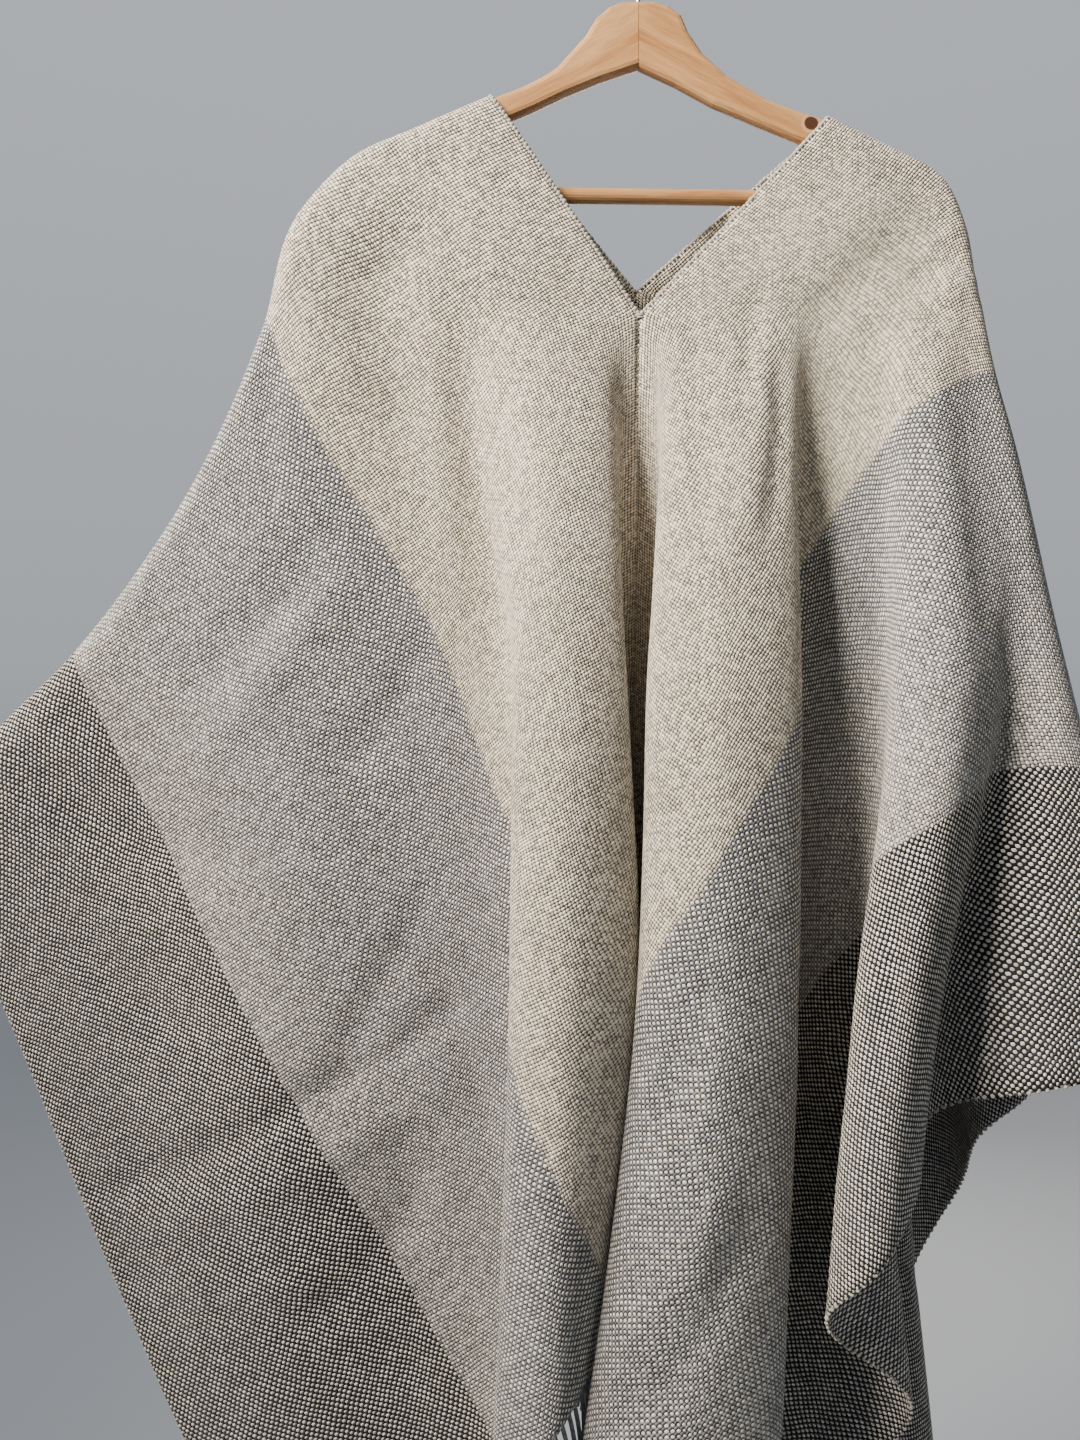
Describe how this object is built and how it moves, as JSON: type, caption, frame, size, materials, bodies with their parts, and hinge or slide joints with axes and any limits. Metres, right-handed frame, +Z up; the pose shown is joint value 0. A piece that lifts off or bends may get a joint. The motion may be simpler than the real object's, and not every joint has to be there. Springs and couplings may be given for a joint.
{
  "type": "poncho on a wooden clothes hanger",
  "caption": "Open-sided woven poncho with a neck slit and fringed hems, hanging in folds from a wooden clothes hanger with a bar and a wire hook.",
  "frame": {"origin": "the point inside the top of the hook where it rests on a rail or peg", "axes": "+Z up, +X to the right seen from the front, +Y backwards, away from the viewer"},
  "size_m": [0.9517, 0.2286, 1.3578],
  "materials": {
    "cloth": "plain weave, cream with grey bands",
    "fringe": "twisted yarn ends",
    "hanger_wood": "pale wood, satin lacquer",
    "hook_wire": "drawn wire"
  },
  "bodies": {
    "root": {"left_panel": "cloth", "right_panel": "cloth", "fringe_front_left": "fringe", "fringe_front_right": "fringe", "fringe_back_left": "fringe", "fringe_back_right": "fringe", "hanger_arm_left": "hanger_wood", "hanger_arm_right": "hanger_wood", "hanger_bar": "hanger_wood", "hanger_hook": "hook_wire"}
  },
  "joints": []
}
